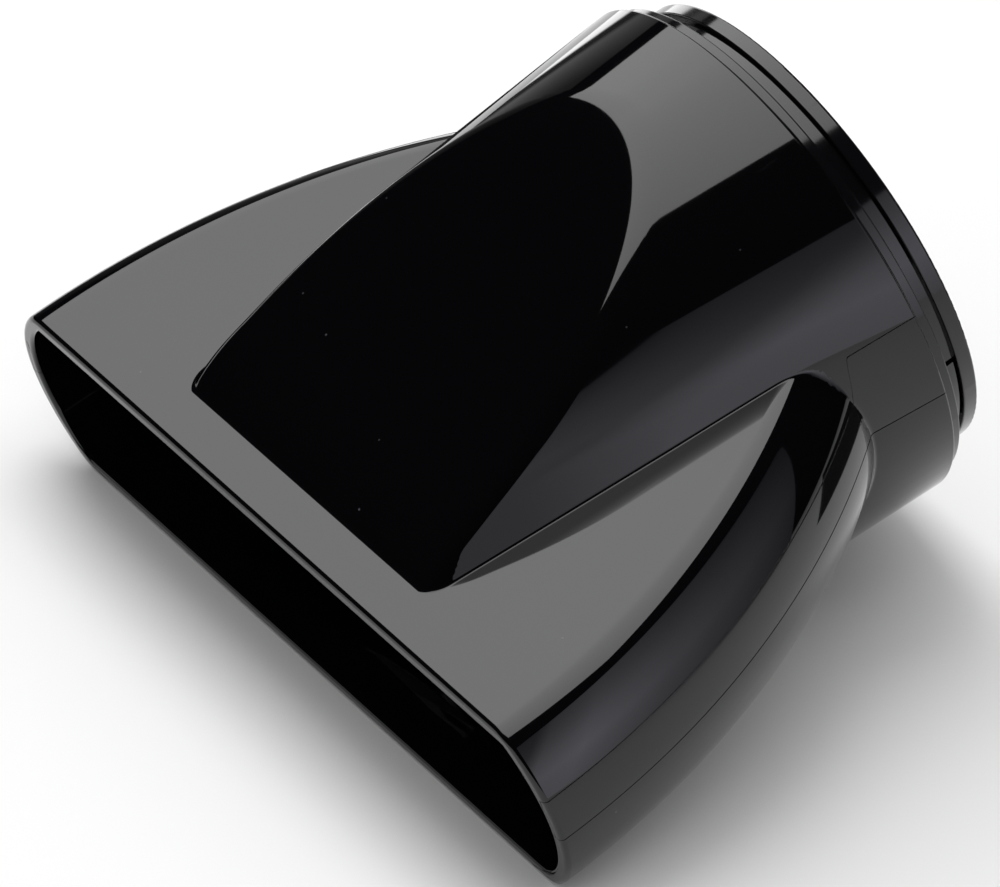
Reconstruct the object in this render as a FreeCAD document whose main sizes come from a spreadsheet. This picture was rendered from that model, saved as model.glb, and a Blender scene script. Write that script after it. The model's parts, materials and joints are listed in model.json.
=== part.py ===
import FreeCAD, Part

import math
import os

import Sketcher

# A concentrator nozzle for a compact hair dryer: two half shells that make a flat, flared duct,
# a cover strip along each side seam, and a coupling ring that turns in the shells' rear collar
# and snaps into the dryer with two tongues.
#
# Nozzle frame: X across the mouth, Y along the axis from the mouth (0) to the coupling end, Z up.
# Every sub-part is made in that frame, then placed as the nozzle rests on a table.

Vector = FreeCAD.Vector

DIMENSIONS = {
    # flat duct
    "mouth_half_width": 39.9,
    "mouth_half_height": 9.75,
    "side_radius": 12.5,
    "plan_radius": 73.4,
    "long_edge_fillet": 1.0,
    "lip_fillet": 0.5,
    "wall": 1.5,
    "cut_overrun": 1.0,
    "cut_overlap": 0.1,
    # round body
    "body_radius": 25.0,
    "body_length": 53.2,
    "front_top_radius": 16.95,
    "front_side_radius": 35.9,
    "oval_joint_angle": 24.5,
    # flat facets on the top and bottom of the round body
    "facet_front": 4.85,
    "facet_front_height": 10.95,
    "facet_angle": 20.4,
    "facet_reach": 70.0,
    # side strips
    "strip_depth": 0.8,
    "strip_height": 4.3,
    "strip_patch_front": 45.0,
    "strip_patch_height": 8.6,
    "strip_patch_corner": 1.0,
    # collar inside the rear of the shells
    "collar_front": 47.4,
    "collar_bore_radius": 22.06,
    "groove_front": 49.4,
    "groove_rear": 51.4,
    "groove_radius": 23.3,
    # coupling ring
    "ring_bore_radius": 20.2,
    "ring_front": 48.0,
    "ring_sleeve_radius": 22.0,
    "flange_front": 49.5,
    "flange_rear": 51.3,
    "flange_radius": 23.2,
    "band_front": 53.3,
    "band_rear": 54.3,
    "band_radius": 24.3,
    "neck_radius": 22.1,
    "rim_front": 56.15,
    "rim_rear": 57.7,
    "rim_radius": 22.6,
    "rim_fillet": 0.25,
    "edge_break": 0.15,
    # snap tongues in the ring's neck
    "tongue_angle": 21.5,
    "tongue_tip_gap": 0.9,
    "tongue_root_gap": 0.3,
    "tongue_side_gap": 0.15,
    "tongue_inner_radius": 21.1,
    "tongue_outer_radius": 22.3,
    "tongue_edge_break": 0.1,
    "tongue_position": 11.75,
}
DUCT_STATIONS = (0.0, 12.0, 24.0, 34.0, 42.0)
OUTER_DUCT_END = 50.0

doc = FreeCAD.newDocument("concentrator_nozzle")


def make_sheet():
    """The driving dimensions, one row each, in millimetres and degrees."""
    sheet = doc.addObject("Spreadsheet::Sheet", "dims")
    for row, (alias, value) in enumerate(DIMENSIONS.items(), 1):
        sheet.set(f"A{row}", alias)
        sheet.set(f"B{row}", str(value))
        sheet.setAlias(f"B{row}", alias)
    doc.recompute()
    return sheet


dims = make_sheet()


def rest_placement():
    """The nozzle lies on its lower lip and on the crest of its lower facet, with the mouth low."""
    slope = math.tan(math.radians(dims.facet_angle))
    crest_y = dims.facet_front + (dims.body_radius - dims.facet_front_height) / slope
    drop = dims.body_radius - dims.mouth_half_height
    tilt = math.atan2(drop, crest_y)
    turn = FreeCAD.Rotation(Vector(1, 0, 0), math.degrees(tilt))
    lip = turn.multVec(Vector(0, 0, -dims.mouth_half_height))
    front = turn.multVec(Vector(0, 0, dims.mouth_half_height))
    rear = turn.multVec(Vector(0, dims.rim_rear, -dims.rim_radius))
    middle = (front.y + rear.y) / 2
    return FreeCAD.Placement(Vector(0, -middle, -lip.z), turn)


REST = rest_placement()


def add(kind, name, **properties):
    """A document object with its properties set."""
    thing = doc.addObject(kind, name)
    for key, value in properties.items():
        setattr(thing, key, value)
    return thing


def bind(sketch, constraint, name, expression):
    """Adds a dimension to a sketch, named, and driven from the sheet."""
    index = sketch.addConstraint(constraint)
    sketch.renameConstraint(index, name)
    sketch.setExpression(f"Constraints.{name}", expression)


# ---------------------------------------------------------------- sections across the axis


def section_sketch(name, station):
    """An empty sketch across the axis: its x is across the nozzle and its y is up."""
    sketch = doc.addObject("Sketcher::SketchObject", name)
    sketch.Placement = FreeCAD.Placement(Vector(), FreeCAD.Rotation(Vector(1, 0, 0), 90))
    sketch.setExpression("Placement.Base.y", station)
    return sketch


def duct_section(name, station, inset):
    """The flat duct's outline: two flats joined by arcs that stand upright at mid height."""
    offset = f"dims.{inset}" if inset else "0"
    sketch = section_sketch(name, f"{station}")
    reach = dims.plan_radius - math.sqrt(dims.plan_radius**2 - station**2)
    depth = getattr(dims, inset) if inset else 0.0
    radius = dims.side_radius - depth
    half_height = dims.mouth_half_height - depth
    centre = dims.mouth_half_width - reach - dims.side_radius
    swing = math.asin(half_height / radius)
    corner = centre + radius * math.cos(swing)
    up = Vector(0, 0, 1)
    top, right, bottom, left = range(4)
    sketch.addGeometry(Part.LineSegment(Vector(-corner, half_height), Vector(corner, half_height)))
    circle = Part.Circle(Vector(centre, 0), up, radius)
    sketch.addGeometry(Part.ArcOfCircle(circle, -swing, swing))
    sketch.addGeometry(Part.LineSegment(Vector(corner, -half_height), Vector(-corner, -half_height)))
    circle = Part.Circle(Vector(-centre, 0), up, radius)
    sketch.addGeometry(Part.ArcOfCircle(circle, math.pi - swing, math.pi + swing))
    start, end, middle = 1, 2, 3
    x_axis, y_axis, origin = -1, -2, -1
    joints = ((top, start, left, start), (top, end, right, end))
    joints += ((right, start, bottom, start), (bottom, end, left, end))
    for joint in joints:
        sketch.addConstraint(Sketcher.Constraint("Coincident", *joint))
    sketch.addConstraint(Sketcher.Constraint("Horizontal", top))
    sketch.addConstraint(Sketcher.Constraint("Horizontal", bottom))
    sketch.addConstraint(Sketcher.Constraint("PointOnObject", right, middle, x_axis))
    sketch.addConstraint(Sketcher.Constraint("Symmetric", right, middle, left, middle, y_axis))
    sketch.addConstraint(Sketcher.Constraint("Equal", right, left))
    bind(
        sketch,
        Sketcher.Constraint("Radius", right, radius),
        "side_radius",
        f"dims.side_radius - {offset}",
    )
    bind(
        sketch,
        Sketcher.Constraint("DistanceX", origin, 1, right, middle, centre),
        "side_centre",
        "dims.mouth_half_width - dims.side_radius - dims.plan_radius"
        f" + sqrt(dims.plan_radius * dims.plan_radius - {station * station})",
    )
    for side, line, name in ((1, top, "top_height"), (-1, bottom, "bottom_height")):
        ends = (origin, 1, line, start) if side > 0 else (line, start, origin, 1)
        bind(
            sketch,
            Sketcher.Constraint("DistanceY", *ends, half_height),
            name,
            f"dims.mouth_half_height - {offset}",
        )
    return sketch


def oval_section(name, station, top_radius, side_radius, inset):
    """An oval of four arcs that join smoothly at the joint angle; equal radii make a circle."""
    offset = f" - dims.{inset}" if inset else ""
    depth = getattr(dims, inset) if inset else 0.0
    sketch = section_sketch(name, station)
    tip = getattr(dims, top_radius) - depth
    flank = getattr(dims, side_radius) - depth
    angle = math.radians(dims.oval_joint_angle)
    joint_x = tip * math.cos(angle)
    joint_y = flank * math.sin(angle)
    tip_centre = joint_y - tip * math.sin(angle)
    flank_centre = joint_x - flank * math.cos(angle)
    quarter = math.pi / 2
    wide = quarter - angle
    arcs = (
        (Vector(0, tip_centre), tip, quarter - wide, quarter + wide),
        (Vector(-flank_centre, 0), flank, math.pi - angle, math.pi + angle),
        (Vector(0, -tip_centre), tip, 3 * quarter - wide, 3 * quarter + wide),
        (Vector(flank_centre, 0), flank, -angle, angle),
    )
    for centre, radius, first, last in arcs:
        circle = Part.Circle(centre, Vector(0, 0, 1), radius)
        sketch.addGeometry(Part.ArcOfCircle(circle, first, last))
    start, end = 1, 2
    x_axis, y_axis, origin = -1, -2, -1
    top, left, bottom, right = range(4)
    for one, other in ((top, left), (left, bottom), (bottom, right), (right, top)):
        sketch.addConstraint(Sketcher.Constraint("Coincident", one, end, other, start))
    mirror_pairs = (
        (top, start, top, end, y_axis),
        (top, start, right, start, x_axis),
        (left, start, left, end, x_axis),
    )
    for pair in mirror_pairs:
        sketch.addConstraint(Sketcher.Constraint("Symmetric", *pair))
    sketch.addConstraint(Sketcher.Constraint("Equal", top, bottom))
    sketch.addConstraint(Sketcher.Constraint("Equal", left, right))
    tip_text = f"(dims.{top_radius}{offset})"
    flank_text = f"(dims.{side_radius}{offset})"
    bind(sketch, Sketcher.Constraint("Radius", top, tip), "top_radius", tip_text)
    bind(sketch, Sketcher.Constraint("Radius", right, flank), "side_radius", flank_text)
    bind(
        sketch,
        Sketcher.Constraint("DistanceX", origin, 1, top, start, joint_x),
        "joint_across",
        f"{tip_text} * cos(dims.oval_joint_angle * 1deg)",
    )
    bind(
        sketch,
        Sketcher.Constraint("DistanceY", origin, 1, top, start, joint_y),
        "joint_up",
        f"{flank_text} * sin(dims.oval_joint_angle * 1deg)",
    )
    return sketch


# ---------------------------------------------------------------- sections along the axis


def outline_prism(name, points, start_x, length, rounding=None):
    """A closed outline in the Y-Z plane, pushed along X. rounding is (corner number, radius)."""
    corners = [Vector(0, y, z) for y, z in points]
    edges = []
    count = len(corners)
    trims = {}
    if rounding:
        number, radius = rounding
        here = corners[number]
        before = (corners[number - 1] - here).normalize()
        after = (corners[(number + 1) % count] - here).normalize()
        half = before.getAngle(after) / 2
        setback = radius / math.tan(half)
        bisector = (before + after).normalize()
        bulge = here + bisector * (radius / math.sin(half) - radius)
        trims[number] = (here + before * setback, bulge, here + after * setback)
    for number in range(count):
        following = (number + 1) % count
        first = trims[number][2] if number in trims else corners[number]
        last = trims[following][0] if following in trims else corners[following]
        edges.append(Part.LineSegment(first, last).toShape())
        if following in trims:
            edges.append(Part.Arc(*trims[following]).toShape())
    outline = doc.addObject("Part::Feature", f"{name}_outline")
    outline.Shape = Part.Wire(edges)
    outline.Placement = FreeCAD.Placement(Vector(start_x, 0, 0), FreeCAD.Rotation())
    prism = add("Part::Extrusion", name, Base=outline, DirMode="Custom", Dir=Vector(1, 0, 0))
    prism.LengthFwd = length
    prism.Solid = True
    return prism


def long_edges(shape):
    """The numbers of the edges that run along the duct, and of those round its mouth."""
    along = []
    mouth = []
    for number, edge in enumerate(shape.Edges, 1):
        box = edge.BoundBox
        if box.YLength > dims.body_length / 2:
            along.append(number)
        elif box.YMax < dims.lip_fillet:
            mouth.append(number)
    return along, mouth


def flat_duct(name, inset, first, last):
    """The flared flat duct, lofted through its sections."""
    stations = (first,) + DUCT_STATIONS[1:] + (last,)
    sections = [
        duct_section(f"{name}_section_{number}", station, inset)
        for number, station in enumerate(stations)
    ]
    return add("Part::Loft", name, Sections=sections, Solid=True, Ruled=False)


def round_body(name, inset):
    """The oval-to-round body, trimmed above and below by its sloping facets."""
    front = oval_section(f"{name}_front", "0", "front_top_radius", "front_side_radius", inset)
    rear = oval_section(f"{name}_rear", "dims.body_length", "body_radius", "body_radius", inset)
    cone = add("Part::Loft", f"{name}_cone", Sections=[rear, front], Solid=True, Ruled=True)
    depth = getattr(dims, inset) if inset else 0.0
    slope = math.tan(math.radians(dims.facet_angle))
    lowered = depth / math.cos(math.radians(dims.facet_angle))
    front_y = dims.facet_front + depth
    front_z = dims.facet_front_height + depth * slope - lowered
    rear_z = front_z + (dims.facet_reach - front_y) * slope
    points = (
        (front_y, -front_z),
        (dims.facet_reach, -rear_z),
        (dims.facet_reach, rear_z),
        (front_y, front_z),
    )
    width = 4 * dims.body_radius
    envelope = outline_prism(f"{name}_envelope", points, -width / 2, width)
    return add("Part::Common", name, Base=cone, Tool=envelope)


def rounded_duct(duct):
    """The outer duct with its long edges and its lip rounded."""
    doc.recompute()
    along, mouth = long_edges(duct.Shape)
    radii = [(number, dims.long_edge_fillet, dims.long_edge_fillet) for number in along]
    radii += [(number, dims.lip_fillet, dims.lip_fillet) for number in mouth]
    return add("Part::Fillet", "rounded_duct", Base=duct, Edges=radii)


def axis_cylinder(name, radius, front, rear):
    """A cylinder on the nozzle axis between two stations."""
    cylinder = doc.addObject("Part::Cylinder", name)
    cylinder.Placement = FreeCAD.Placement(Vector(), FreeCAD.Rotation(Vector(1, 0, 0), -90))
    cylinder.setExpression("Radius", radius)
    cylinder.setExpression("Height", f"{rear} - {front}")
    cylinder.setExpression("Placement.Base.y", front)
    return cylinder


def make_outer():
    """The nozzle's outside as one solid."""
    duct = rounded_duct(flat_duct("outer_duct", None, DUCT_STATIONS[0], OUTER_DUCT_END))
    body = round_body("outer_body", None)
    return add("Part::Fuse", "outer_form", Base=duct, Tool=body)


def make_inset(name, inset, first):
    """The outside shape shrunk by one of the sheet's depths."""
    duct = flat_duct(f"{name}_duct", inset, first, dims.collar_front)
    body = round_body(f"{name}_body", inset)
    return add("Part::Fuse", name, Base=duct, Tool=body)


def make_air_path():
    """All that is cut out of the shells: the duct, and the collar's bore and groove."""
    hollow = make_inset("hollow_form", "wall", -dims.cut_overrun)
    front_room = axis_box("front_room", -2 * dims.cut_overrun, dims.collar_front)
    duct = add("Part::Common", "duct_hollow", Base=hollow, Tool=front_room)
    bore_end = "dims.body_length + dims.cut_overrun"
    bore_start = "dims.collar_front - dims.cut_overlap"
    bore = axis_cylinder("collar_bore", "dims.collar_bore_radius", bore_start, bore_end)
    groove = axis_cylinder(
        "collar_groove", "dims.groove_radius", "dims.groove_front", "dims.groove_rear"
    )
    return add("Part::MultiFuse", "air_path", Shapes=[duct, bore, groove])


def axis_box(name, front, rear):
    """A box wide enough for the whole nozzle between two stations."""
    reach = 2 * dims.mouth_half_width
    box = add("Part::Box", name, Length=2 * reach, Width=rear - front, Height=2 * reach)
    box.Placement = FreeCAD.Placement(Vector(-reach, front, -reach), FreeCAD.Rotation())
    return box


def half_box(name, lower):
    """A box that covers the nozzle's upper or lower half."""
    reach = 2 * dims.mouth_half_width
    box = add("Part::Box", name, Length=2 * reach, Width=2 * reach, Height=reach)
    box.Placement = FreeCAD.Placement(
        Vector(-reach, -reach / 4, -reach if lower else 0), FreeCAD.Rotation()
    )
    return box


def strip_cutter(side, inset_form):
    """The region that a side strip takes from the upper shell, down to the strip's depth."""
    patch_front = dims.strip_patch_front
    front = -dims.cut_overrun
    rear = dims.body_length + dims.cut_overrun
    points = (
        (front, 0),
        (rear, 0),
        (rear, dims.strip_patch_height),
        (patch_front, dims.strip_patch_height),
        (patch_front, dims.strip_height),
        (front, dims.strip_height),
    )
    inner_x = dims.body_radius / 2
    length = dims.mouth_half_width
    start_x = inner_x if side == "right" else -inner_x - length
    rounding = (3, dims.strip_patch_corner)
    prism = outline_prism(f"strip_prism_{side}", points, start_x, length, rounding)
    return add("Part::Cut", f"strip_region_{side}", Base=prism, Tool=inset_form)


# ---------------------------------------------------------------- shells and strips


def make_shells():
    """The two half shells and the two strips let into the upper one."""
    outer = make_outer()
    shell = add("Part::Cut", "whole_shell", Base=outer, Tool=make_air_path())
    upper = add("Part::Common", "upper_half", Base=shell, Tool=half_box("upper_room", False))
    backing = make_inset("strip_backing", "strip_depth", -dims.cut_overrun)
    nodes = []
    regions = []
    for side in ("right", "left"):
        region = strip_cutter(side, backing)
        regions.append(region)
        nodes.append(add("Part::Common", f"side_strip_{side}", Base=upper, Tool=region))
    both = add("Part::MultiFuse", "strip_regions", Shapes=regions)
    nodes.append(add("Part::Cut", "upper_shell", Base=upper, Tool=both))
    lower_room = half_box("lower_room", True)
    nodes.append(add("Part::Common", "lower_shell", Base=shell, Tool=lower_room))
    for node in nodes:
        node.Placement = REST
    return nodes


# ---------------------------------------------------------------- coupling ring and tongues


def body_plane(body, role):
    """One of a body's own origin planes or axes."""
    return next(item for item in body.Origin.OriginFeatures if item.Role == role)


def profile_sketch(body, name, corners):
    """A closed outline of radius against station, each corner bound to the sheet."""
    sketch = body.newObject("Sketcher::SketchObject", name)
    sketch.AttachmentSupport = [(body_plane(body, "XY_Plane"), "")]
    sketch.MapMode = "FlatFace"
    points = [Vector(cell_size(radius), cell_size(station)) for radius, station in corners]
    count = len(points)
    for number in range(count):
        sketch.addGeometry(Part.LineSegment(points[number], points[(number + 1) % count]))
    origin, start, end = -1, 1, 2
    for number in range(count):
        following = (number + 1) % count
        sketch.addConstraint(Sketcher.Constraint("Coincident", number, end, following, start))
    for number, (radius, station) in enumerate(corners):
        bind(
            sketch,
            Sketcher.Constraint("DistanceX", origin, 1, number, start, points[number].x),
            f"radius_{number}",
            cell_text(radius),
        )
        bind(
            sketch,
            Sketcher.Constraint("DistanceY", origin, 1, number, start, points[number].y),
            f"station_{number}",
            cell_text(station),
        )
    return sketch


def cell_size(cell):
    """A corner's size: a cell of the sheet, or a cell with a shift."""
    if isinstance(cell, tuple):
        return getattr(dims, cell[0]) + cell[1]
    return getattr(dims, cell)


def cell_text(cell):
    """The same size as an expression."""
    if isinstance(cell, tuple):
        return f"dims.{cell[0]} + {cell[1]}"
    return f"dims.{cell}"


def revolved_body(name, corners, angle=None):
    """A body turned from a profile about the nozzle axis, all round or over an angle."""
    body = doc.addObject("PartDesign::Body", name)
    sketch = profile_sketch(body, f"{name}_profile", corners)
    turned = body.newObject("PartDesign::Revolution", f"{name}_turned")
    turned.Profile = sketch
    turned.ReferenceAxis = (sketch, ["V_Axis"])
    if angle:
        turned.Midplane = True
        turned.setExpression("Angle", angle)
    doc.recompute()
    return body


def round_edges(body, name, radius, wanted):
    """Fillets the circular edges of a body at the given (radius, station) pairs."""
    tip = body.Tip
    chosen = []
    for number, edge in enumerate(tip.Shape.Edges, 1):
        if not isinstance(edge.Curve, Part.Circle):
            continue
        for edge_radius, station in wanted:
            at_radius = abs(edge.Curve.Radius - edge_radius) < 0.01
            if at_radius and abs(edge.Curve.Center.y - station) < 0.01:
                chosen.append(f"Edge{number}")
    fillet = body.newObject("PartDesign::Fillet", name)
    fillet.Base = (tip, chosen)
    fillet.setExpression("Radius", radius)
    doc.recompute()


def ring_placement(turn):
    """At rest, turned about the nozzle axis; a positive turn takes +X towards -Z."""
    own = FreeCAD.Placement(Vector(), FreeCAD.Rotation(Vector(0, 1, 0), turn))
    return REST.multiply(own)


def make_ring():
    """The ring that turns in the collar: flange, sleeve, stop band, neck and snap rim."""
    corners = (
        ("ring_bore_radius", "ring_front"),
        ("ring_sleeve_radius", "ring_front"),
        ("ring_sleeve_radius", "flange_front"),
        ("flange_radius", "flange_front"),
        ("flange_radius", "flange_rear"),
        ("ring_sleeve_radius", "flange_rear"),
        ("ring_sleeve_radius", "band_front"),
        ("band_radius", "band_front"),
        ("band_radius", "band_rear"),
        ("neck_radius", "band_rear"),
        ("neck_radius", "rim_front"),
        ("rim_radius", "rim_front"),
        ("rim_radius", "rim_rear"),
        ("ring_bore_radius", "rim_rear"),
    )
    ring = revolved_body("coupling_ring", corners)
    whole = ring.Shape.Volume
    clear = dims.cut_overrun
    window = profile_sketch(
        ring,
        "tongue_window_profile",
        (
            (("ring_bore_radius", -clear), "band_rear"),
            (("neck_radius", clear), "band_rear"),
            (("neck_radius", clear), "rim_front"),
            (("ring_bore_radius", -clear), "rim_front"),
        ),
    )
    groove = ring.newObject("PartDesign::Groove", "tongue_window")
    groove.Profile = window
    groove.ReferenceAxis = (window, ["V_Axis"])
    groove.Midplane = True
    groove.setExpression("Angle", "dims.tongue_angle + dims.tongue_tip_gap + dims.tongue_root_gap")
    doc.recompute()
    if groove.Shape.Volume >= whole:
        raise RuntimeError("the tongue window cut nothing")
    pattern = ring.newObject("PartDesign::PolarPattern", "tongue_windows")
    pattern.Originals = [groove]
    pattern.Axis = (body_plane(ring, "Y_Axis"), [""])
    pattern.Angle = 360
    pattern.Occurrences = 2
    ring.Tip = pattern
    doc.recompute()
    round_edges(ring, "rim_rounding", "dims.rim_fillet", [(dims.rim_radius, dims.rim_rear)])
    breaks = [
        (dims.rim_radius, dims.rim_front),
        (dims.band_radius, dims.band_front),
        (dims.band_radius, dims.band_rear),
    ]
    round_edges(ring, "edge_breaks", "dims.edge_break", breaks)
    off_centre = (dims.tongue_tip_gap - dims.tongue_root_gap) / 2
    ring.Placement = ring_placement(dims.tongue_position - off_centre)
    return ring


def make_tongue(side, turn):
    """A snap tongue: a curved finger along the neck, which bends inwards from its lower end."""
    front = ("band_rear", dims.tongue_side_gap)
    rear = ("rim_front", -dims.tongue_side_gap)
    corners = (
        ("tongue_inner_radius", front),
        ("tongue_outer_radius", front),
        ("tongue_outer_radius", rear),
        ("tongue_inner_radius", rear),
    )
    name = f"latch_tongue_{side}"
    tongue = revolved_body(name, corners, "dims.tongue_angle")
    rounded = [
        (dims.tongue_outer_radius, cell_size(front)),
        (dims.tongue_outer_radius, cell_size(rear)),
    ]
    round_edges(tongue, f"{name}_rounding", "dims.tongue_edge_break", rounded)
    tongue.Placement = ring_placement(dims.tongue_position + turn)
    return tongue


# ---------------------------------------------------------------- build, check and write


def check_document():
    """Stops if any object failed to build."""
    for thing in doc.Objects:
        if "Invalid" in thing.State or "Error" in thing.State:
            raise RuntimeError(f"{thing.Name} failed: {thing.State}")


def write_nodes(nodes):
    """Writes each sub-part to its own STEP file."""
    os.makedirs("parts", exist_ok=True)
    for node in nodes:
        shape = node.Shape
        if shape.isNull() or not shape.isValid():
            raise RuntimeError(f"{node.Label} has no valid shape")
        node.Label = node.Name
        shape.exportStep(os.path.join("parts", f"{node.Label}.step"))
        box = shape.BoundBox
        print(
            f"{node.Label}: {shape.ShapeType}, {len(shape.Solids)} solid,"
            f" {shape.Volume:.1f} mm3, z {box.ZMin:.2f} to {box.ZMax:.2f}"
        )


node_objects = make_shells()
node_objects.append(make_ring())
node_objects.append(make_tongue("right", 0))
node_objects.append(make_tongue("left", 180))
doc.recompute()
check_document()
write_nodes(node_objects)
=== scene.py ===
import json
import math

import bpy
import numpy as np
from mathutils import Matrix, Vector


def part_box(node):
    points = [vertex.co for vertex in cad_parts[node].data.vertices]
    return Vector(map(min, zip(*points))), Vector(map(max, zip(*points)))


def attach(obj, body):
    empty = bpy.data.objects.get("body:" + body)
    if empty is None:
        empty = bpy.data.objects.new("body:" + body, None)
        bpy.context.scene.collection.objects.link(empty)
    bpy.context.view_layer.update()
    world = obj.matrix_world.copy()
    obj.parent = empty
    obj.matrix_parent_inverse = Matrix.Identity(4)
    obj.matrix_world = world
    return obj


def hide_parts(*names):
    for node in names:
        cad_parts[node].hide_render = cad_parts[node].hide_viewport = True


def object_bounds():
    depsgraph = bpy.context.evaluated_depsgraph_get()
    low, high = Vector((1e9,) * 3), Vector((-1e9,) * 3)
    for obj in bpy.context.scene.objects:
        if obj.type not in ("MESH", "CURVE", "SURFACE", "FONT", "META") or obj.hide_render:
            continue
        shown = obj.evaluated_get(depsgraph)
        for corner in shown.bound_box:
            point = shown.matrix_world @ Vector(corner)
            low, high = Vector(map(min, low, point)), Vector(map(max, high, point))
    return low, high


# A concentrator nozzle in glossy black plastic. The shells and their side strips are meshed from
# one rounded form, so that their reflections run smoothly; the coupling ring and its tongues are
# the CAD nodes with better materials. Shapes are in millimetres in the nozzle's own frame:
# X across the mouth, Y along the axis from the mouth, Z up; to_row() takes them to the scene.

MM = 0.001

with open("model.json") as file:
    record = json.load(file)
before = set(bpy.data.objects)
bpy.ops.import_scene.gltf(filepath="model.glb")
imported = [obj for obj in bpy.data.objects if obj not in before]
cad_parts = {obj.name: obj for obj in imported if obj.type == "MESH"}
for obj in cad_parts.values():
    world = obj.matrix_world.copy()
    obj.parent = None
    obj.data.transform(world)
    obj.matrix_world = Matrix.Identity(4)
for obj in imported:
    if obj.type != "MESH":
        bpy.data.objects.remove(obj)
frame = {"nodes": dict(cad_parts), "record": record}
cad_low, cad_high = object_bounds()
record = frame["record"]

# ---------------------------------------------------------------- sizes

BODY_LENGTH = 53.2
BODY_RADIUS = 25.0
FRONT_TOP_RADIUS = 16.7
FRONT_SIDE_RADIUS = 35.9
OVAL_JOINT = math.radians(24.5)
FLANK_FLAT_END = 28.0
FLANK_ROUND_START = 44.0

MOUTH_HALF_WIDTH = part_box("lower_shell")[1][0] / MM
MOUTH_HALF_HEIGHT = 9.75
SIDE_RADIUS = 12.5
PLAN_RADIUS = 73.4
WALL = 1.5

FACET_FRONT = 4.85
FACET_FRONT_HEIGHT = 10.95
FACET_ANGLE = math.radians(20.4)
FACET_NOSE_LEAN = math.radians(50)
NOSE_SETBACK = (FACET_FRONT_HEIGHT - MOUTH_HALF_HEIGHT) * math.tan(FACET_NOSE_LEAN)

CREST = FACET_FRONT + (BODY_RADIUS - FACET_FRONT_HEIGHT) / math.tan(FACET_ANGLE)

LONG_EDGE_ROUND = 0.9
FACET_EDGE_ROUND = 1.0
NOSE_ROUND = 1.5
FOOT_ROUND = 0.18
LIP_ROUND = 0.5
INNER_LIP_ROUND = 0.35
REAR_EDGE_ROUND = 0.25

STRIP_HEIGHT = 4.3
STRIP_DEPTH = 0.8
STRIP_BACK = 0.77
PATCH_HEIGHT = 8.6
PATCH_FRONT = 45.0
PATCH_RISE = 1.3
SEAM_GAP = 0.06
SEAM_ROUND = 0.05
HALF_GAP = SEAM_GAP / 2

COLLAR_FRONT = 47.4
COLLAR_RADIUS = 22.06
GROOVE_FRONT = 49.4
GROOVE_REAR = 51.4
GROOVE_RADIUS = 23.3
STEP = 0.02

SWIVEL_STATION = 50.4

# How close the mesh lies: stretches of stations with their step, and columns between creases.
LIP_END = LIP_ROUND + 0.35
FOOT_ZONE = (FACET_FRONT - 1.6, FACET_FRONT + 2.4)
CREST_ZONE = (CREST - 3.0, CREST + 1.0)
PATCH_ZONE = (PATCH_FRONT - 0.5, PATCH_FRONT + PATCH_RISE + 0.5)
REAR_START = BODY_LENGTH - REAR_EDGE_ROUND - 0.1
STATION_RUNS = (
    (LIP_END, FOOT_ZONE[0], 0.4),
    (FOOT_ZONE[0], FOOT_ZONE[1], 0.13),
    (FOOT_ZONE[1], CREST_ZONE[0], 0.45),
    (CREST_ZONE[0], CREST_ZONE[1], 0.2),
    (CREST_ZONE[1], PATCH_ZONE[0], 0.42),
    (PATCH_ZONE[0], PATCH_ZONE[1], 0.11),
    (PATCH_ZONE[1] + 0.1, REAR_START, 0.4),
)
CREASE_SPACE = 0.8
SEAM_SPACE = 0.6
TOP_SPACE = 3.0
LEAST_APART = 1.0
CLOSE_REACH = 1.0
CREST_REACH = 1.2
REACH_SHARE = 0.45
SEAM_SHARE = 0.9
REBATE_COLUMNS = 10
STRIP_COLUMNS = 14
SECTION_ANGLES = 1200
HALVINGS = 34
LIP_STATIONS = 8
REAR_STATIONS = 6
SLOPE_STEP = 1e-3

# ---------------------------------------------------------------- the nozzle's own frame

swivel = next(j for j in record["behaviour"]["joints"] if j["name"] == "ring_swivel")
AXIS = Vector(swivel["axis"]).normalized()
UPWARD = Vector((1, 0, 0)).cross(AXIS)
MOUTH_CENTRE = Vector(swivel["pos_m"]) - AXIS * SWIVEL_STATION * MM
TURN = np.array([(1, 0, 0), tuple(AXIS), tuple(UPWARD)])


def to_row(points):
    """Nozzle millimetres to the scene's metres."""
    return points @ TURN * MM + np.array(MOUTH_CENTRE)


# ---------------------------------------------------------------- the rounded form


def ease(value, start, end):
    """A smooth step from 0 at the start to 1 at the end."""
    share = np.clip((value - start) / (end - start), 0, 1)
    return share * share * (3 - 2 * share)


def round_min(a, b, radius):
    """The union of two distance fields, with a fillet in the corner between them."""
    u = np.maximum(radius - a, 0)
    v = np.maximum(radius - b, 0)
    return np.maximum(radius, np.minimum(a, b)) - np.hypot(u, v)


def round_max(a, b, radius):
    """What two distance fields share, with its edge rounded."""
    u = np.maximum(radius + a, 0)
    v = np.maximum(radius + b, 0)
    return np.minimum(-radius, np.maximum(a, b)) + np.hypot(u, v)


def duct_field(x, y, z):
    """The flat duct: two flats joined by arcs, narrower towards the rear along an arc in plan."""
    reach = PLAN_RADIUS - np.sqrt(PLAN_RADIUS**2 - y**2)
    centre = MOUTH_HALF_WIDTH - reach - SIDE_RADIUS
    lean = np.sqrt(1 - (y / PLAN_RADIUS) ** 2)
    across = np.maximum(np.abs(x) - centre, 0)
    side = (np.hypot(across, z) - SIDE_RADIUS) * lean
    return round_max(np.abs(z) - MOUTH_HALF_HEIGHT, side, LONG_EDGE_ROUND)


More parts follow.
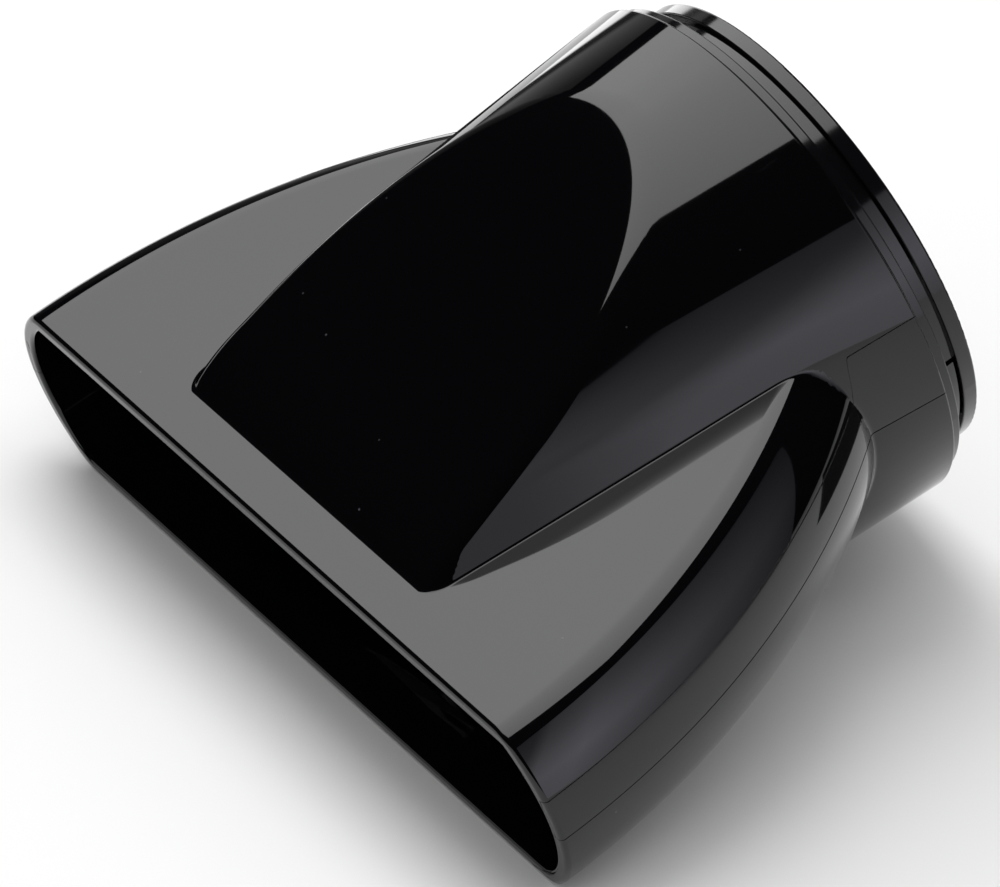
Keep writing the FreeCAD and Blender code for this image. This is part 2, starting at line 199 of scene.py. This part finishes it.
def oval_sizes(y):
    """The oval's top radius and the height of its centre, and how round its flanks are."""
    taper = 1 - y / BODY_LENGTH
    tip = BODY_RADIUS + (FRONT_TOP_RADIUS - BODY_RADIUS) * taper
    flank = BODY_RADIUS + (FRONT_SIDE_RADIUS - BODY_RADIUS) * taper
    rise = (flank - tip) * math.sin(OVAL_JOINT)
    return tip, rise, ease(y, FLANK_FLAT_END, FLANK_ROUND_START)


def oval_field(x, y, z):
    """The body's cone: an oval with flat flanks at the mouth that becomes a circle at the rear."""
    tip, rise, roundness = oval_sizes(y)
    across = np.abs(x)
    above = np.abs(z) - rise
    on_tip = above > across * math.tan(OVAL_JOINT)
    arc = np.hypot(across, above) - tip
    flat = across * math.cos(OVAL_JOINT) + above * math.sin(OVAL_JOINT) - tip
    return np.where(on_tip, arc, flat + (arc - flat) * roundness)


def body_field(x, y, z):
    """The cone, trimmed by its sloping facets and by the facets' leaning front face."""
    above = np.abs(z) - FACET_FRONT_HEIGHT
    facet = above * math.cos(FACET_ANGLE) - (y - FACET_FRONT) * math.sin(FACET_ANGLE)
    ahead = FACET_FRONT + NOSE_SETBACK - y
    nose = ahead * math.cos(FACET_NOSE_LEAN) + above * math.sin(FACET_NOSE_LEAN)
    sides = round_max(oval_field(x, y, z), facet, FACET_EDGE_ROUND)
    return round_max(sides, nose, NOSE_ROUND)


def form(x, y, z):
    """Negative inside the nozzle's outside surface."""
    return round_min(duct_field(x, y, z), body_field(x, y, z), FOOT_ROUND)


def form_normal(x, y, z):
    """The outward direction on the form's surface."""
    h = SLOPE_STEP
    slope = np.stack(
        (
            form(x + h, y, z) - form(x - h, y, z),
            form(x, y + h, z) - form(x, y - h, z),
            form(x, y, z + h) - form(x, y, z - h),
        ),
        axis=-1,
    )
    return slope / np.linalg.norm(slope, axis=-1, keepdims=True)


def surface_radius(station, angle, inset):
    """How far from the axis the form lies, below its surface by the inset."""
    low = np.zeros(np.broadcast(station, angle, inset).shape)
    high = np.full(low.shape, 2 * MOUTH_HALF_WIDTH)
    across, up = np.cos(angle), np.sin(angle)
    for _ in range(HALVINGS):
        middle = (low + high) / 2
        outside = form(middle * across, station, middle * up) > -inset
        high = np.where(outside, middle, high)
        low = np.where(outside, low, middle)
    return (low + high) / 2


def section_points(radius, angle):
    """Points at a radius and an angle about the axis, a row for each station."""
    along = np.broadcast_to(STATIONS, radius.shape)
    return np.stack((radius * np.cos(angle), along, radius * np.sin(angle)), axis=-1)


# ---------------------------------------------------------------- stations along the axis


def make_stations():
    """Stations from the mouth to the rear, with how deep the lip and rear rounding lie at each."""
    lip = LIP_ROUND * (1 - np.cos(np.linspace(0, math.pi / 2, LIP_STATIONS)))
    rear_turn = np.linspace(0, math.pi / 2, REAR_STATIONS)
    rear = BODY_LENGTH - REAR_EDGE_ROUND * (1 - np.sin(rear_turn))
    runs = [np.arange(*stretch) for stretch in STATION_RUNS]
    steps = [(edge - STEP, edge + STEP) for edge in (COLLAR_FRONT, GROOVE_FRONT, GROOVE_REAR)]
    stations = np.unique(np.round(np.concatenate((lip, *runs, *steps, rear)), 5))
    lip_left = np.maximum(LIP_ROUND - stations, 0)
    lip_inset = LIP_ROUND - np.sqrt(LIP_ROUND**2 - lip_left**2)
    rear_left = np.maximum(stations - BODY_LENGTH + REAR_EDGE_ROUND, 0)
    rear_inset = REAR_EDGE_ROUND - np.sqrt(np.maximum(REAR_EDGE_ROUND**2 - rear_left**2, 0))
    return stations[:, None], (lip_inset + rear_inset)[:, None]


STATIONS, END_INSET = make_stations()
ROWS = len(STATIONS)


def section_lengths():
    """For each station, arc length against angle over the quarter from +X to +Z."""
    angles = np.linspace(0, math.pi / 2, SECTION_ANGLES)
    radius = surface_radius(STATIONS, angles[None, :], 0.0)
    across, up = radius * np.cos(angles), radius * np.sin(angles)
    steps = np.hypot(np.diff(across, axis=1), np.diff(up, axis=1))
    lengths = np.concatenate((np.zeros((ROWS, 1)), np.cumsum(steps, axis=1)), axis=1)
    return angles, lengths, up


ANGLES, LENGTHS, HEIGHTS = section_lengths()
QUARTER_LENGTH = LENGTHS[:, -1:]


def angle_at(lengths):
    """The angle at which each station's outline has run the given lengths."""
    rows = [np.interp(lengths[r], LENGTHS[r], ANGLES) for r in range(ROWS)]
    return np.array(rows)


def seam_length():
    """How far along each station's outline the strip's upper seam lies."""
    widening = ease(STATIONS[:, 0], PATCH_FRONT, PATCH_FRONT + PATCH_RISE)
    height = STRIP_HEIGHT + (PATCH_HEIGHT - STRIP_HEIGHT) * widening
    return np.array([np.interp(height[r], HEIGHTS[r], LENGTHS[r]) for r in range(ROWS)])[:, None]


SEAM = seam_length()


def length_to(across, up):
    """How far along each station's outline the ray through a point of the section crosses it."""
    angle = np.broadcast_to(np.arctan2(up, across), (ROWS,))
    return np.array([np.interp(angle[r], ANGLES, LENGTHS[r]) for r in range(ROWS)])[:, None]


def crease_lengths():
    """Where the duct's long edge, the body's foot on the duct and the facet's edge run."""
    station = STATIONS[:, 0]
    centre = MOUTH_HALF_WIDTH - SIDE_RADIUS - PLAN_RADIUS + np.sqrt(PLAN_RADIUS**2 - station**2)
    long_edge = centre + math.sqrt(SIDE_RADIUS**2 - MOUTH_HALF_HEIGHT**2)
    tip, rise, _ = oval_sizes(station)
    foot = (tip - (MOUTH_HALF_HEIGHT - rise) * math.sin(OVAL_JOINT)) / math.cos(OVAL_JOINT)
    climb = np.maximum(station - FACET_FRONT, 0) * math.tan(FACET_ANGLE)
    height = FACET_FRONT_HEIGHT + climb
    on_flank = (tip - (height - rise) * math.sin(OVAL_JOINT)) / math.cos(OVAL_JOINT)
    on_tip = np.sqrt(np.maximum(tip**2 - (height - rise) ** 2, 0))
    crease = np.where(height - rise > on_tip * math.tan(OVAL_JOINT), on_tip, on_flank)
    return (
        length_to(long_edge, MOUTH_HALF_HEIGHT),
        length_to(foot, MOUTH_HALF_HEIGHT),
        length_to(crease, height),
    )


LONG_EDGE, FOOT, CREASE = crease_lengths()

# ---------------------------------------------------------------- quarter surfaces

EDGE = np.linspace(0, math.pi / 2, 5)
EDGE_ALONG = SEAM_ROUND * (1 - np.cos(EDGE))
EDGE_DEPTH = SEAM_ROUND * (1 - np.sin(EDGE))


def columns(*pieces):
    """Joins runs of (lengths, inset), each given per station, into one grid of each."""
    lengths = []
    insets = []
    for along, inset in pieces:
        along, inset = np.broadcast_arrays(along, inset)
        lengths.append(np.broadcast_to(along, (ROWS, along.shape[-1])))
        insets.append(np.broadcast_to(inset, (ROWS, inset.shape[-1])))
    return np.concatenate(lengths, axis=1), np.concatenate(insets, axis=1)


def run(start, end, count):
    """Evenly spaced lengths from one seam to another, without the ends."""
    share = np.linspace(0, 1, count + 2)[None, 1:-1]
    return start + (end - start) * share


def face_columns(start):
    """Lengths from a seam to the top of the section, packed closely along each crease."""
    middle = (LONG_EDGE + FOOT) / 2
    apart = np.maximum(FOOT - LONG_EDGE, LEAST_APART)
    edge = np.maximum(middle - apart / 2, start + SEAM_SPACE)
    foot = np.maximum(middle + apart / 2, edge + CREASE_SPACE)
    crease = np.clip(CREASE, foot + CREASE_SPACE, QUARTER_LENGTH - TOP_SPACE)
    flat_reach = np.minimum(CLOSE_REACH, REACH_SHARE * (foot - edge))
    edge_reach = np.minimum(flat_reach, SEAM_SHARE * (edge - start))
    foot_reach = np.minimum(flat_reach, REACH_SHARE * (crease - foot))
    crease_reach = np.minimum(CREST_REACH, REACH_SHARE * (crease - foot))
    marks = (
        (edge - edge_reach, 16),
        (edge + edge_reach, 14),
        (foot - foot_reach, 24),
        (foot + foot_reach, 24),
        (crease - crease_reach, 26),
        (crease + crease_reach, 16),
        (QUARTER_LENGTH, 40),
    )
    grids = []
    here = start
    for mark, count in marks:
        grids.append(run(here, mark, count))
        grids.append(mark)
        here = mark
    return np.concatenate(grids, axis=1)


def outer_points(lengths, insets):
    """Points of the outside, with each station's end rounding, and whether they lie on the form."""
    angle = angle_at(lengths)
    depth = np.maximum(insets, END_INSET)
    radius = surface_radius(STATIONS, angle, depth)
    return section_points(radius, angle), depth == 0


def inner_points(count, start_length):
    """The air path's wall: the form's inside, then the collar's bore and groove."""
    share = np.linspace(0, 1, count)[None, :]
    lengths = start_length + (QUARTER_LENGTH - start_length) * share
    angle = angle_at(lengths)
    flare_left = np.maximum(INNER_LIP_ROUND - STATIONS, 0)
    flare = INNER_LIP_ROUND - np.sqrt(INNER_LIP_ROUND**2 - flare_left**2)
    duct = surface_radius(STATIONS, angle, WALL - flare)
    in_groove = (STATIONS > GROOVE_FRONT) & (STATIONS < GROOVE_REAR)
    bore = np.where(in_groove, GROOVE_RADIUS, COLLAR_RADIUS)
    return section_points(np.where(STATIONS > COLLAR_FRONT, bore, duct), angle)


def strip_back(lengths):
    """The strip's hidden face, just clear of the rebate's floor."""
    angle = angle_at(lengths)
    return section_points(surface_radius(STATIONS, angle, STRIP_BACK), angle)


# ---------------------------------------------------------------- closed bands


def quads(a, b, c, d):
    """Four index grids as rows of four corners."""
    return np.stack((a, b, c, d), axis=-1).reshape(-1, 4)


def band_mesh(name, outer, inner, on_form):
    """A closed solid between an outer and an inner grid, with exact normals on the form."""
    rows, count = outer.shape[:2]
    o = np.arange(rows * count).reshape(rows, count)
    i = o + rows * count
    skin = quads(o[:-1, :-1], o[1:, :-1], o[1:, 1:], o[:-1, 1:])
    lining = quads(i[:-1, :-1], i[:-1, 1:], i[1:, 1:], i[1:, :-1])
    flat = np.concatenate(
        (
            quads(o[:-1, 0], i[:-1, 0], i[1:, 0], o[1:, 0]),
            quads(o[:-1, -1], o[1:, -1], i[1:, -1], i[:-1, -1]),
            quads(o[0, :-1], o[0, 1:], i[0, 1:], i[0, :-1]),
            quads(o[-1, :-1], i[-1, :-1], i[-1, 1:], o[-1, 1:]),
        )
    )
    faces = np.concatenate((skin, lining, flat))
    points = np.concatenate((outer.reshape(-1, 3), inner.reshape(-1, 3)))
    mesh = bpy.data.meshes.new(name)
    mesh.from_pydata(to_row(points).tolist(), [], faces.tolist())
    smooth = np.ones(len(faces), bool)
    smooth[len(skin) + len(lining) :] = False
    mesh.polygons.foreach_set("use_smooth", smooth)

    along = np.gradient(outer, axis=0)
    around = np.gradient(outer, axis=1)
    grid_normal = np.cross(along, around)
    grid_normal /= np.maximum(np.linalg.norm(grid_normal, axis=-1, keepdims=True), 1e-12)
    exact = form_normal(outer[..., 0], outer[..., 1], outer[..., 2])
    normal = np.where(on_form[..., None], exact, grid_normal).reshape(-1, 3) @ TURN
    corner_normals = np.zeros((len(faces) * 4, 3))
    corner_normals[: len(skin) * 4] = normal[skin.ravel()]
    mesh.normals_split_custom_set(corner_normals.tolist())
    thing = bpy.data.objects.new(name, mesh)
    bpy.context.collection.objects.link(thing)
    return thing


def mirror(grid, signs):
    """A grid turned or mirrored by signs on X and Z; one sign alone reverses its columns too."""
    turned = grid * np.array((signs[0], 1, signs[1]))
    if signs[0] * signs[1] < 0:
        turned = turned[:, ::-1]
    return turned


def join_halves(first, second):
    """Two quarter grids that meet on their last and first column."""
    return np.concatenate((first, second[:, 1:]), axis=1)


def shell_object(name, quarter, on_form, inner, side):
    """A half shell from its quarter: the upper one for side 1, the lower one for side -1."""
    first, second = ((1, 1), (-1, 1)) if side > 0 else ((-1, -1), (1, -1))
    outer = join_halves(mirror(quarter, first), mirror(quarter, second))
    lining = join_halves(mirror(inner, first), mirror(inner, second))
    flags = np.concatenate((on_form, on_form[:, ::-1][:, 1:]), axis=1)
    return band_mesh(name, outer, lining, flags)


def make_upper_shell():
    """The upper half, with a rebate along each side that holds a strip."""
    wall = SEAM + HALF_GAP
    rebate = run(HALF_GAP, wall, REBATE_COLUMNS)
    wall_depths = np.linspace(STRIP_DEPTH, SEAM_ROUND, 4)[None, :-1]
    lengths, insets = columns(
        (np.full((1, 1), HALF_GAP), STRIP_DEPTH),
        (rebate, STRIP_DEPTH),
        (wall, wall_depths),
        (wall + EDGE_ALONG, EDGE_DEPTH[None, :]),
        (face_columns(wall + SEAM_ROUND), 0.0),
    )
    quarter, on_form = outer_points(lengths, insets)
    inner = inner_points(lengths.shape[1], HALF_GAP)
    return shell_object("shell_upper", quarter, on_form, inner, 1)


def make_lower_shell():
    """The lower half, whole from one parting edge to the other."""
    lengths, insets = columns(
        (HALF_GAP + EDGE_ALONG, EDGE_DEPTH[None, :]),
        (face_columns(np.full((ROWS, 1), HALF_GAP + SEAM_ROUND)), 0.0),
    )
    quarter, on_form = outer_points(lengths, insets)
    inner = inner_points(lengths.shape[1], HALF_GAP)
    return shell_object("shell_lower", quarter, on_form, inner, -1)


def make_strip(name, side):
    """A cover strip along one side seam, which widens into a patch on the round body."""
    upper_edge = SEAM - HALF_GAP
    lengths, insets = columns(
        (HALF_GAP + EDGE_ALONG, EDGE_DEPTH[None, :]),
        (run(HALF_GAP + SEAM_ROUND, upper_edge - SEAM_ROUND, STRIP_COLUMNS), 0.0),
        (upper_edge - EDGE_ALONG[::-1], EDGE_DEPTH[None, ::-1]),
    )
    outer, on_form = outer_points(lengths, insets)
    back = strip_back(lengths)
    if side < 0:
        outer, back, on_form = mirror(outer, (-1, 1)), mirror(back, (-1, 1)), on_form[:, ::-1]
    return band_mesh(name, outer, back, on_form)


# ---------------------------------------------------------------- materials


class Nodes:
    """A material's node tree, with short calls to add and join nodes."""

    def __init__(self, name):
        self.material = bpy.data.materials.new(name)
        self.material.use_nodes = True
        self.tree = self.material.node_tree
        self.tree.nodes.clear()

    def add(self, kind, **settings):
        node = self.tree.nodes.new("ShaderNode" + kind)
        for key, value in settings.items():
            setattr(node, key, value)
        return node

    def join(self, source, target):
        self.tree.links.new(source, target)

    def ramp(self, source, *stops):
        """A colour ramp of (position, grey or colour) stops."""
        node = self.add("ValToRGB")
        elements = node.color_ramp.elements
        while len(elements) < len(stops):
            elements.new(1.0)
        for element, (position, value) in zip(elements, stops):
            element.position = position
            colour = value if isinstance(value, tuple) else (value, value, value)
            element.color = (*colour, 1)
        self.join(source, node.inputs["Fac"])
        return node.outputs["Color"]

    def noise(self, vector, scale, detail=2.0, roughness=0.5):
        node = self.add("TexNoise")
        node.inputs["Scale"].default_value = scale
        node.inputs["Detail"].default_value = detail
        node.inputs["Roughness"].default_value = roughness
        self.join(vector, node.inputs["Vector"])
        return node.outputs["Fac"]

    def specks(self, vector, scale, size):
        """Sparse round specks: 1 inside a speck and 0 elsewhere."""
        cells = self.add("TexVoronoi", feature="F1")
        cells.inputs["Scale"].default_value = scale
        self.join(vector, cells.inputs["Vector"])
        return self.ramp(cells.outputs["Distance"], (0.0, 1.0), (size, 0.0))

    def maths(self, operation, a, b):
        node = self.add("Math", operation=operation)
        for value, socket in ((a, node.inputs[0]), (b, node.inputs[1])):
            if isinstance(value, (int, float)):
                socket.default_value = value
            else:
                self.join(value, socket)
        return node.outputs[0]

    def mix(self, factor, a, b):
        node = self.add("Mix", data_type="RGBA")
        self.join(factor, node.inputs["Factor"])
        for value, socket in ((a, node.inputs["A"]), (b, node.inputs["B"])):
            if isinstance(value, tuple):
                socket.default_value = (*value, 1)
            else:
                self.join(value, socket)
        return node.outputs["Result"]


def black_plastic(name, colour, gloss, orange_peel, scratch_strength):
    """Glossy moulded plastic: faint orange peel, hairline scuffs, dust specks, uneven gloss."""
    n = Nodes(name)
    place = n.add("TexCoord").outputs["Object"]
    low_gloss, high_gloss = gloss

    patches = n.noise(place, 45, 3)
    roughness = n.ramp(patches, (0.35, low_gloss), (0.7, high_gloss))

    stretched = n.add("Mapping")
    stretched.inputs["Rotation"].default_value = (0.3, 0.5, 0.7)
    stretched.inputs["Scale"].default_value = (1400, 90, 260)
    n.join(place, stretched.inputs["Vector"])
    scuffs = n.noise(stretched.outputs["Vector"], 1.0, 1)
    scuff_mask = n.ramp(scuffs, (0.7, 0.0), (0.78, 1.0))

    dust = n.specks(place, 330, 0.045)
    dust_places = n.ramp(n.noise(place, 60, 2), (0.5, 0.0), (0.62, 1.0))
    dust_mask = n.maths("MULTIPLY", dust, dust_places)

    shader = n.add("BsdfPrincipled")
    shader.inputs["IOR"].default_value = 1.5
    base = n.mix(dust_mask, colour, (0.1, 0.1, 0.11))
    n.join(base, shader.inputs["Base Color"])
    scuffed = n.maths("MULTIPLY_ADD", scuff_mask, scratch_strength)
    n.join(roughness, scuffed.node.inputs[2])
    dusty = n.maths("MULTIPLY_ADD", dust_mask, 0.5)
    n.join(scuffed, dusty.node.inputs[2])
    n.join(dusty, shader.inputs["Roughness"])

    bump = n.add("Bump")
    bump.inputs["Strength"].default_value = 1.0
    bump.inputs["Distance"].default_value = orange_peel
    peel = n.noise(place, 260, 2)
    n.join(peel, bump.inputs["Height"])
    n.join(bump.outputs["Normal"], shader.inputs["Normal"])
    output = n.add("OutputMaterial")
    n.join(shader.outputs["BSDF"], output.inputs["Surface"])
    return n.material


def floor_material():
    """A pale matt floor with a very faint mottle."""
    n = Nodes("pale_floor")
    place = n.add("TexCoord").outputs["Object"]
    tone = n.ramp(n.noise(place, 6, 3), (0.3, 0.80), (0.7, 0.82))
    shader = n.add("BsdfPrincipled")
    shader.inputs["Roughness"].default_value = 1.0
    shader.inputs["Specular IOR Level"].default_value = 0.0
    n.join(tone, shader.inputs["Base Color"])
    output = n.add("OutputMaterial")
    n.join(shader.outputs["BSDF"], output.inputs["Surface"])
    return n.material


# ---------------------------------------------------------------- pieces

shell_black = black_plastic("shell_gloss_black", (0.0016, 0.0016, 0.002), (0.03, 0.05), 4e-7, 0.06)
strip_black = black_plastic("strip_gloss_black", (0.003, 0.003, 0.0035), (0.05, 0.09), 6e-7, 0.08)
ring_black = black_plastic("ring_satin_black", (0.003, 0.003, 0.0036), (0.06, 0.11), 1e-6, 0.12)

PIECES = (
    (make_upper_shell(), "upper_shell", "shell_gloss_black", shell_black),
    (make_lower_shell(), "lower_shell", "shell_gloss_black", shell_black),
    (make_strip("strip_right", 1), "side_strip_right", "strip_gloss_black", strip_black),
    (make_strip("strip_left", -1), "side_strip_left", "strip_gloss_black", strip_black),
)
for piece, node, slot_name, material in PIECES:
    piece.data.materials.append(material)
    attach(piece, "nozzle_body")
    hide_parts(node)

for node in ("coupling_ring", "latch_tongue_right", "latch_tongue_left"):
    for slot in frame["nodes"][node].material_slots:
        slot.material = ring_black

# ---------------------------------------------------------------- stage, lights and camera

TARGET = Vector((0.80, -8.16, 17.79)) * MM
CAMERA_DISTANCE = 0.8389
CAMERA_AZIMUTH = 52.37
CAMERA_ELEVATION = 35.69
CAMERA_ROLL = 3.54
LENS = 352.1
SENSOR = 36.0

CARD_CELLS = 12
FLOOR_REACH = 6.0
BACKDROP = 0.95
FLOOR_FILL = 0.6


def direction(azimuth, elevation):
    """A unit vector; azimuth 0 is in front of the mouth (-Y) and 90 is to the right (+X)."""
    turn, rise = math.radians(azimuth), math.radians(elevation)
    return Vector(
        (math.sin(turn) * math.cos(rise), -math.cos(turn) * math.cos(rise), math.sin(rise))
    )


def make_camera():
    """A long lens, tilted a few degrees as the photographer held it."""
    data = bpy.data.cameras.new("camera")
    data.lens = LENS
    data.sensor_width = SENSOR
    data.clip_start = 0.01
    data.clip_end = 20
    camera = bpy.data.objects.new("camera", data)
    bpy.context.collection.objects.link(camera)
    back = direction(CAMERA_AZIMUTH, CAMERA_ELEVATION)
    level_right = Vector((0, 0, 1)).cross(back).normalized()
    level_up = back.cross(level_right)
    roll = math.radians(CAMERA_ROLL)
    right = level_right * math.cos(roll) + level_up * math.sin(roll)
    up = back.cross(right)
    turn = Matrix((right, up, back)).transposed().to_4x4()
    camera.matrix_world = Matrix.Translation(TARGET + back * CAMERA_DISTANCE) @ turn
    bpy.context.scene.camera = camera


def make_floor():
    """A wide level floor that the nozzle rests on."""
    mesh = bpy.data.meshes.new("floor")
    signs = ((-1, -1), (1, -1), (1, 1), (-1, 1))
    corners = [(x * FLOOR_REACH, y * FLOOR_REACH, 0) for x, y in signs]
    mesh.from_pydata(corners, [], [(0, 1, 2, 3)])
    floor = bpy.data.objects.new("floor", mesh)
    floor.location.z = min(0.0, cad_low.z) - 1e-5
    bpy.context.collection.objects.link(floor)
    mesh.materials.append(floor_material())


def area_light(name, azimuth, elevation, distance, width, height, radiance):
    """A rectangular lamp that faces the nozzle, set by its radiance, which the gloss doesn't show."""
    data = bpy.data.lights.new(name, "AREA")
    data.shape = "RECTANGLE"
    data.size = width
    data.size_y = height
    data.energy = radiance * math.pi * width * height
    lamp = bpy.data.objects.new(name, data)
    bpy.context.collection.objects.link(lamp)
    away = direction(azimuth, elevation)
    lamp.location = TARGET + away * distance
    lamp.rotation_mode = "QUATERNION"
    lamp.rotation_quaternion = away.to_track_quat("Z", "Y")
    lamp.visible_camera = False
    lamp.visible_glossy = False


def card(name, corners, centre, distance, peak, across, upward, tint=(1, 1, 1)):
    """A glowing patch that only shiny surfaces see, between four directions from a centre.

    The corners are (azimuth, elevation) from the lower left, anticlockwise as seen from outside,
    and the stops of across and upward grade its brightness from the peak.
    """
    low_left, low_right, high_right, high_left = (
        np.array(centre + direction(*corner) * distance) for corner in corners
    )
    share = np.linspace(0, 1, CARD_CELLS + 1)
    u, v = (grid.ravel()[:, None] for grid in np.meshgrid(share, share))
    low = low_left + (low_right - low_left) * u
    high = high_left + (high_right - high_left) * u
    index = np.arange((CARD_CELLS + 1) ** 2).reshape(CARD_CELLS + 1, -1)
    faces = quads(index[:-1, :-1], index[:-1, 1:], index[1:, 1:], index[1:, :-1])
    mesh = bpy.data.meshes.new(name)
    mesh.from_pydata((low + (high - low) * v).tolist(), [], faces.tolist())
    places = np.concatenate((u, v), axis=1)[faces.ravel()]
    mesh.uv_layers.new(name="grade").data.foreach_set("uv", places.ravel())

    n = Nodes(name)
    where = n.add("SeparateXYZ")
    n.join(n.add("TexCoord").outputs["UV"], where.inputs[0])
    grade = n.maths(
        "MULTIPLY", n.ramp(where.outputs["X"], *across), n.ramp(where.outputs["Y"], *upward)
    )
    glow = n.add("Emission")
    glow.inputs["Color"].default_value = (*tint, 1)
    n.join(n.maths("MULTIPLY", grade, peak), glow.inputs["Strength"])
    output = n.add("OutputMaterial")
    n.join(glow.outputs["Emission"], output.inputs["Surface"])
    mesh.materials.append(n.material)

    thing = bpy.data.objects.new(name, mesh)
    bpy.context.collection.objects.link(thing)
    thing.visible_camera = False
    thing.visible_diffuse = False
    thing.visible_shadow = False


EVEN = ((0.0, 1.0), (1.0, 1.0))
PANEL_ACROSS = ((0.0, 0.7), (0.25, 0.9), (0.45, 0.97), (0.75, 0.85), (1.0, 0.74))
PANEL_UPWARD = ((0.0, 0.97), (1.0, 1.0))
WALL_ACROSS = (
    (0.0, 0.30), (0.03, 0.40), (0.10, 0.42), (0.15, 0.85), (0.29, 1.0),
    (0.37, 0.83), (0.52, 0.55), (0.67, 0.36), (0.83, 0.23), (1.0, 0.11),
)
WALL_UPWARD = (
    (0.0, 0.5), (0.15, 0.65), (0.24, 0.8), (0.40, 0.92), (0.475, 1.0),
    (0.63, 0.80), (0.71, 0.66), (0.79, 0.54), (0.88, 0.44), (1.0, 0.35),
)
WALL_TINT = (1.0, 0.98, 1.09)
FLAG_ACROSS = (
    (0.0, 1.0), (0.27, 1.0), (0.30, 0.02), (0.35, 0.02), (0.39, 0.12), (0.6, 0.03), (1.0, 0.007),
)
FLAG_CENTRE = TARGET + Vector((-18, 8, 20)) * MM
FLAG_BLACK = 0.02


def make_cards():
    """The studio as the gloss shows it: a panel on the left, a pale wall on the right, flags."""
    panel = ((-92.5, 29.9), (-18.4, 62.3), (102, 74.3), (-119, 17))
    card("left_panel", panel, TARGET, 0.7, 3.6, PANEL_ACROSS, PANEL_UPWARD)
    wall = ((88.5, -14), (149, -12), (149, 45), (88.5, 39.5))
    card("right_wall", wall, TARGET, 0.6, 1.75, WALL_ACROSS, WALL_UPWARD, WALL_TINT)
    flag = ((-124, -22), (-87, -22), (-92, 20), (-124, 20))
    card("left_flag", flag, FLAG_CENTRE, 0.2, 3.0, FLAG_ACROSS, EVEN)
    low_flag = ((-185, -52), (-100, -44), (-100, -23), (-185, 2))
    card("low_flag", low_flag, FLAG_CENTRE, 0.045, FLAG_BLACK, EVEN, EVEN)
    right_flag = ((150, -13), (178, -13), (178, 3), (150, 3))
    card("right_flag", right_flag, TARGET, 0.12, FLAG_BLACK, EVEN, EVEN)


def make_world():
    """Dark in reflections, pale for the camera and as soft light on the floor."""
    world = bpy.data.worlds.new("world")
    bpy.context.scene.world = world
    world.use_nodes = True
    tree = world.node_tree
    tree.nodes.clear()
    path = tree.nodes.new("ShaderNodeLightPath")
    background = tree.nodes.new("ShaderNodeBackground")
    background.inputs["Color"].default_value = (1, 1, 1, 1)
    seen = tree.nodes.new("ShaderNodeMath")
    seen.operation = "MULTIPLY"
    seen.inputs[1].default_value = BACKDROP
    strength = tree.nodes.new("ShaderNodeMath")
    strength.operation = "MULTIPLY_ADD"
    strength.inputs[1].default_value = FLOOR_FILL
    output = tree.nodes.new("ShaderNodeOutputWorld")
    tree.links.new(path.outputs["Is Camera Ray"], seen.inputs[0])
    tree.links.new(path.outputs["Is Diffuse Ray"], strength.inputs[0])
    tree.links.new(seen.outputs[0], strength.inputs[2])
    tree.links.new(strength.outputs[0], background.inputs["Strength"])
    tree.links.new(background.outputs["Background"], output.inputs["Surface"])


make_camera()
make_floor()
make_world()
make_cards()
area_light("left_lamp", -93, 59, 0.7, 0.34, 0.92, 3.3)
area_light("top_fill", 0, 89, 1.6, 1.6, 1.6, 1.0)

bpy.context.scene.view_settings.view_transform = "Standard"
